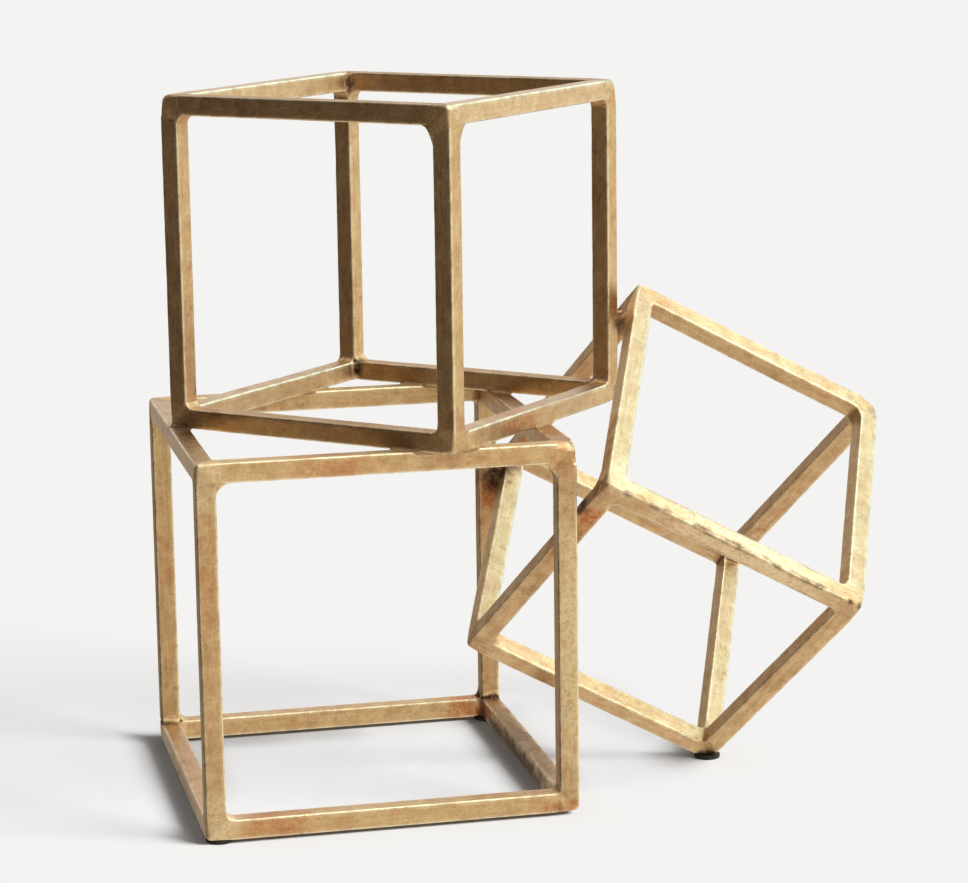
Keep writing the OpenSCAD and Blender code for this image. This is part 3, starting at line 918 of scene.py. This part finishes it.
for node_name, post, rail, centre, size, throat in (
        ("small_to_front_post_weld", "large_front_right_post", "small_front_upper_left_rail",
         FRONT_TACK, (7, 7, 9), 4.6),
        ("small_to_back_post_weld", "large_back_right_post", "small_left_strut",
         BACK_TACK + [0, 0, 7], (8, 8, 19), 8.0),
        ("small_to_medium_weld", "medium_right_post", "small_rear_upper_left_rail",
         CROWN_TACK, (7, 7, 10), 4.6)):
    v, q, bend = joint_weld(centre - TACK_REACH, centre + TACK_REACH,
                            tack_field(post, rail, centre, size, throat), 0.4)
    tack_values = paint_values(v)
    # edges paled in the material: worn, and partly a painted highlight
    tack_values["edge"] = smoothstep(0.06, 0.3, bend) * 0.6
    tack_values["dirt_and_shade"] = np.maximum(tack_values["dirt_and_shade"], smoothstep(0.05, 0.25, -bend) * 0.6)
    make_piece("weld_" + node_name, v, q, tack_values, v, weld_gold, [node_name])

for pad_name in ("front_left_pad", "front_right_pad", "back_left_pad", "back_right_pad",
                 "small_cube_pad"):
    build_pad(pad_name, black_pad)


# ---------------------------------------------------------------- stage, lights and camera

KEY_TOWARD, KEY_STRENGTH, KEY_SPREAD = (0.64, -0.49, 0.59), 4.35, 28
KEY_COLOUR = (1.0, 0.994, 0.982)
SKY = 0.14                     # even light on all that isn't metal
BACKDROP = (0.90, 0.89, 0.875, 1)
DARK_ROOM = (0.10, 0.085, 0.075, 1)
LIGHT_TABLE = 0.70             # how far the floor turns into a light table
PAPER, PAPER_GLOW = (0.930, 0.926, 0.918, 1), (1.0, 0.995, 0.983, 1)
CAMERA_AT = (-0.34792, -1.44796, 0.45589)
CAMERA_TURN = (78.8483, 0.8044, -12.7696)
CAMERA_LENS = 114.11


def floor_material():
    """A pale sheet lit from above near the object, and like a light table further off."""
    n = Nodes("pale_floor")
    place = n.position()
    middle = LARGE.place(LARGE.edge / 2, LARGE.edge / 2, 0)
    offset = n.new("ShaderNodeVectorMath", _0=place, _1=tuple(middle))
    offset.operation = "SUBTRACT"
    parts = n.new("ShaderNodeSeparateXYZ", _0=offset.outputs[0])
    across = n.maths("MAXIMUM", n.maths("ABSOLUTE", parts.outputs[0], 0.0),
                     n.maths("ABSOLUTE", parts.outputs[1], 0.0))
    from_ring = n.maths("ABSOLUTE", n.sum(across, HALF - LARGE.edge / 2), 0.0)
    foot = n.new("ShaderNodeVectorMath", _0=place, _1=tuple(SMALL.at * [1, 1, 0]))
    foot.operation = "DISTANCE"
    beneath = n.maths("MULTIPLY", n.ramp(from_ring, 7, 29), n.ramp(foot.outputs["Value"], 8, 42))
    beneath = n.maths("MULTIPLY", beneath, LIGHT_TABLE)
    n.put(n.bsdf, "Base Color", n.mix(beneath, PAPER, (0, 0, 0, 1)))
    n.bsdf.inputs["Emission Color"].default_value = PAPER_GLOW
    n.put(n.bsdf, "Emission Strength", n.sum(n.maths("MULTIPLY", beneath, 0.886), 0.015))
    n.bsdf.inputs["Roughness"].default_value = 0.95
    n.bsdf.inputs["Specular IOR Level"].default_value = 0.0
    return n.material


bpy.ops.mesh.primitive_plane_add(size=60)
floor = bpy.context.object
floor.name = "floor"
floor.data.materials.append(floor_material())
floor.visible_glossy = False

scene = bpy.context.scene
scene.view_settings.view_transform = "Standard"
scene.view_settings.look = "None"


def key_light(toward, strength, spread_deg):
    """A wide sun from the right, in front; the metal's gloss comes from the studio around it."""
    data = bpy.data.lights.new("key", "SUN")
    data.energy = strength
    data.color = KEY_COLOUR
    data.angle = math.radians(spread_deg)
    obj = bpy.data.objects.new("key", data)
    bpy.context.scene.collection.objects.link(obj)
    obj.rotation_mode = "QUATERNION"
    obj.rotation_quaternion = Vector(toward).to_track_quat("Z", "Y")
    obj.visible_glossy = False


key_light(KEY_TOWARD, KEY_STRENGTH, KEY_SPREAD)


class Studio(Nodes):
    """The light all round: even on the floor, and in the metal's gloss a room of soft boxes."""

    def __init__(self):
        world = bpy.data.worlds.new("studio")
        bpy.context.scene.world = world
        world.use_nodes = True
        self.tree = world.node_tree
        self.toward = self.new("ShaderNodeTexCoord").outputs["Generated"]

    def facing(self, x, y, z, lo, hi):
        """1 close to a direction, falling to 0 further off; lo and hi are cosines of the angles."""
        way = tuple(Vector((x, y, z)).normalized())
        dot = self.new("ShaderNodeVectorMath", _0=self.toward, _1=way)
        dot.operation = "DOT_PRODUCT"
        return self.ramp(dot.outputs["Value"], lo, hi)


SOFT_BOXES = (
    # direction, cosine where it starts, cosine where it is full, colour
    ((1, 0.1, 0), -0.85, 0.9, (1.10, 1.12, 1.00, 1)),              # the open right side
    ((0.1, 1, 0.0), 0.3, 0.95, (0.42, 0.39, 0.33, 1)),             # the far side
    ((0.2, 0.9, 0.5), 0.72, 0.95, (0.82, 0.78, 0.76, 1)),          # the far wall
    ((0.25, -0.95, -0.2), 0.45, 0.97, (0.80, 0.78, 0.68, 1)),      # the floor in front
    ((0.05, 0, -1), 0.55, 0.95, (0.98, 0.98, 0.96, 1)),            # the floor below
    ((0.68, 0.12, 0.72), 0.55, 0.93, (1.26, 1.76, 2.08, 1)),       # the soft box on the right
    ((0.15, -0.2, 0.97), 0.80, 0.97, (2.0, 2.2, 2.1, 1)),          # the soft box overhead
    ((0.66, -0.51, 0.55), 0.91, 0.98, (3.6, 3.7, 3.4, 1)),         # the key
    ((-0.94, -0.3, 0.0), 0.62, 0.95, (0.052, 0.037, 0.030, 1)),    # the dark side on the left
    ((-0.60, -0.2, -0.78), 0.86, 0.98, (0.62, 0.54, 0.42, 1)),     # the floor on the left
)

studio = Studio()
gloss = DARK_ROOM
for toward, starts, full, colour in SOFT_BOXES:
    gloss = studio.mix(studio.facing(*toward, starts, full), gloss, colour)
rays = studio.new("ShaderNodeLightPath").outputs
seen_in_metal = studio.maths("SUBTRACT", rays["Is Glossy Ray"], rays["Diffuse Depth"])
around = studio.mix(seen_in_metal, (SKY, SKY, SKY * 1.012, 1), gloss)
background = studio.tree.nodes["Background"]
studio.put(background, "Color", studio.mix(rays["Is Camera Ray"], around, BACKDROP))
background.inputs["Strength"].default_value = 1.0

camera = bpy.data.cameras.new("camera")
camera.sensor_fit = "HORIZONTAL"
camera.sensor_width = 36.0
camera.lens = CAMERA_LENS
camera.clip_start, camera.clip_end = 0.05, 100
camera_object = bpy.data.objects.new("camera", camera)
scene.collection.objects.link(camera_object)
camera_object.location = CAMERA_AT
camera_object.rotation_euler = [math.radians(a) for a in CAMERA_TURN]
scene.camera = camera_object
